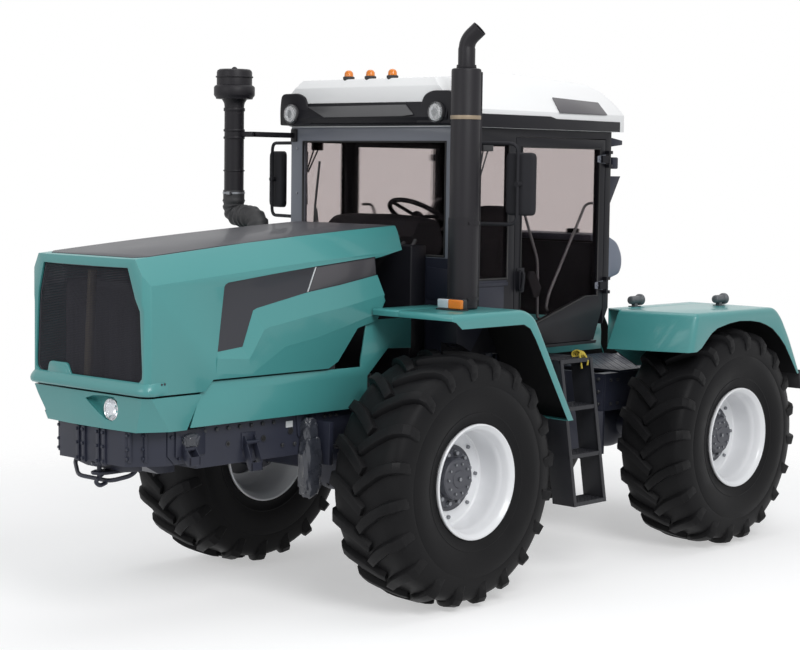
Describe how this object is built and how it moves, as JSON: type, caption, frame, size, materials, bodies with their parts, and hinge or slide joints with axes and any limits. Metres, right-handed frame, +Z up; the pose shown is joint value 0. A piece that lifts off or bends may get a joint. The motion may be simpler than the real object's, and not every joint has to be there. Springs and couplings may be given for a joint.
{
  "type": "articulated four-wheel-drive farm tractor with equal wheels",
  "caption": "Centre-hinged farm tractor with equal wheels, hinged bonnet, glazed cab, ladders and a rear three-point linkage.",
  "frame": {"origin": "on the ground, at the middle of the overall length and width", "axes": "+X forward, +Y to the left, +Z up"},
  "size_m": [6.4263, 2.42, 3.5693],
  "materials": {
    "green_paint": "gloss",
    "chassis_paint": "satin",
    "cast_housing": "satin",
    "radiator_core": "matte",
    "tyre_rubber": "matte",
    "wheel_white": "gloss",
    "tinted_glass": "gloss",
    "roof_white": "gloss",
    "cab_paint": "satin",
    "black_plastic": "matte",
    "seat_cloth": "matte",
    "stack_paint": "matte",
    "rod_chrome": "polished",
    "barrel_paint": "satin",
    "lamp_glass": "gloss",
    "amber_lens": "gloss"
  },
  "bodies": {
    "front": {"beacons": "amber_lens", "cab_roof": "roof_white", "cab_shell": "cab_paint", "cab_windows": "tinted_glass", "cowl": "chassis_paint", "dashboard": "black_plastic", "engine_block": "cast_housing", "exhaust_stack": "stack_paint", "front_axle": "chassis_paint", "front_fenders": "green_paint", "front_frame": "chassis_paint", "front_springs": "chassis_paint", "front_weights": "chassis_paint", "headlamp": "lamp_glass", "intake_stack": "stack_paint", "ladders": "chassis_paint", "mirrors": "black_plastic", "nose_panel": "green_paint", "radiator": "radiator_core", "rear_tank": "chassis_paint", "roof_visor": "cab_paint", "seat": "seat_cloth", "side_panels": "green_paint", "steering_wheel": "black_plastic", "transmission": "cast_housing", "windshield": "tinted_glass", "work_lamps": "lamp_glass"},
    "bonnet": {"bonnet": "green_paint", "grille": "black_plastic"},
    "door_left": {"door_left": "cab_paint", "door_glass_left": "tinted_glass"},
    "door_right": {"door_right": "cab_paint", "door_glass_right": "tinted_glass"},
    "wheel_front_left": {"tyre_front_left": "tyre_rubber", "rim_front_left": "wheel_white"},
    "wheel_front_right": {"tyre_front_right": "tyre_rubber", "rim_front_right": "wheel_white"},
    "wheel_rear_left": {"tyre_rear_left": "tyre_rubber", "rim_rear_left": "wheel_white"},
    "wheel_rear_right": {"tyre_rear_right": "tyre_rubber", "rim_rear_right": "wheel_white"},
    "centre_hinge": {"centre_hinge": "chassis_paint"},
    "steer_barrel_left": {"steer_barrel_left": "barrel_paint"},
    "steer_barrel_right": {"steer_barrel_right": "barrel_paint"},
    "steer_rod_left": {"steer_rod_left": "rod_chrome"},
    "steer_rod_right": {"steer_rod_right": "rod_chrome"},
    "rear": {"rear_rails": "chassis_paint", "roll_bearing": "chassis_paint", "hitch": "chassis_paint", "rear_axle": "chassis_paint", "rear_fenders": "green_paint", "deck": "chassis_paint", "tail_lamps": "amber_lens", "rockshaft_housing": "chassis_paint"},
    "lower_links": {"lower_links": "chassis_paint"},
    "lift_arms": {"lift_arms": "chassis_paint"},
    "lift_rods": {"lift_rods": "chassis_paint"},
    "top_link": {"top_link": "chassis_paint"}
  },
  "joints": [
    {"name": "bonnet_lift", "type": "hinge", "parent": "front", "child": "bonnet", "pos_m": [1.055, 0, 2.215], "axis": [0, -1, 0], "range_deg": [0, 50]},
    {"name": "door_left_swing", "type": "hinge", "parent": "front", "child": "door_left", "pos_m": [-0.653, 0.782, 2.2], "axis": [0, 0, 1], "range_deg": [0, 65]},
    {"name": "door_right_swing", "type": "hinge", "parent": "front", "child": "door_right", "pos_m": [-0.653, -0.782, 2.2], "axis": [0, 0, -1], "range_deg": [0, 65]},
    {"name": "steer", "type": "hinge", "parent": "front", "child": "centre_hinge", "pos_m": [-0.285, 0, 0.79], "axis": [0, 0, 1], "range_deg": [-30, 30]},
    {"name": "roll", "type": "hinge", "parent": "centre_hinge", "child": "rear", "pos_m": [-0.735, 0, 0.79], "axis": [1, 0, 0], "range_deg": [-15, 15]},
    {"name": "wheel_front_left_spin", "type": "hinge", "parent": "front", "child": "wheel_front_left", "pos_m": [1.145, 0.93, 0.785], "axis": [0, 1, 0], "continuous": true},
    {"name": "wheel_front_right_spin", "type": "hinge", "parent": "front", "child": "wheel_front_right", "pos_m": [1.145, -0.93, 0.785], "axis": [0, 1, 0], "continuous": true},
    {"name": "wheel_rear_left_spin", "type": "hinge", "parent": "rear", "child": "wheel_rear_left", "pos_m": [-1.715, 0.93, 0.785], "axis": [0, 1, 0], "continuous": true},
    {"name": "wheel_rear_right_spin", "type": "hinge", "parent": "rear", "child": "wheel_rear_right", "pos_m": [-1.715, -0.93, 0.785], "axis": [0, 1, 0], "continuous": true},
    {"name": "steer_barrel_left_swing", "type": "hinge", "parent": "front", "child": "steer_barrel_left", "pos_m": [0.725, 0.33, 0.76], "axis": [0, 0, 1], "range_deg": [-3, 3]},
    {"name": "steer_rod_left_slide", "type": "slide", "parent": "steer_barrel_left", "child": "steer_rod_left", "axis": [-0.9992, -0.0396, 0], "range_m": [-0.15, 0.15]},
    {"name": "steer_barrel_right_swing", "type": "hinge", "parent": "front", "child": "steer_barrel_right", "pos_m": [0.725, -0.33, 0.76], "axis": [0, 0, 1], "range_deg": [-3, 3]},
    {"name": "steer_rod_right_slide", "type": "slide", "parent": "steer_barrel_right", "child": "steer_rod_right", "axis": [-0.9992, 0.0396, 0], "range_m": [-0.15, 0.15]},
    {"name": "lower_links_lift", "type": "hinge", "parent": "rear", "child": "lower_links", "pos_m": [-2.275, 0, 0.62], "axis": [0, 1, 0], "range_deg": [-15, 20]},
    {"name": "lift_arms_turn", "type": "hinge", "parent": "rear", "child": "lift_arms", "pos_m": [-2.415, 0, 1.335], "axis": [0, 1, 0], "range_deg": [-22, 29]},
    {"name": "lift_rods_swing", "type": "hinge", "parent": "lift_arms", "child": "lift_rods", "pos_m": [-2.755, 0, 1.335], "axis": [0, 1, 0], "range_deg": [-28, 21]},
    {"name": "top_link_swing", "type": "hinge", "parent": "rear", "child": "top_link", "pos_m": [-2.575, 0, 1.335], "axis": [0, 1, 0], "range_deg": [-15, 30]}
  ],
  "couplings": [
    {"joint": "steer_barrel_left_swing", "follows": "steer", "ratio": -0.0218},
    {"joint": "steer_barrel_right_swing", "follows": "steer", "ratio": -0.0218},
    {"joint": "steer_rod_left_slide", "follows": "steer", "m_per_rad": 0.2761},
    {"joint": "steer_rod_right_slide", "follows": "steer", "m_per_rad": -0.2761},
    {"joint": "lift_arms_turn", "follows": "lower_links_lift", "ratio": 1.43},
    {"joint": "lift_rods_swing", "follows": "lower_links_lift", "ratio": -1.353}
  ]
}
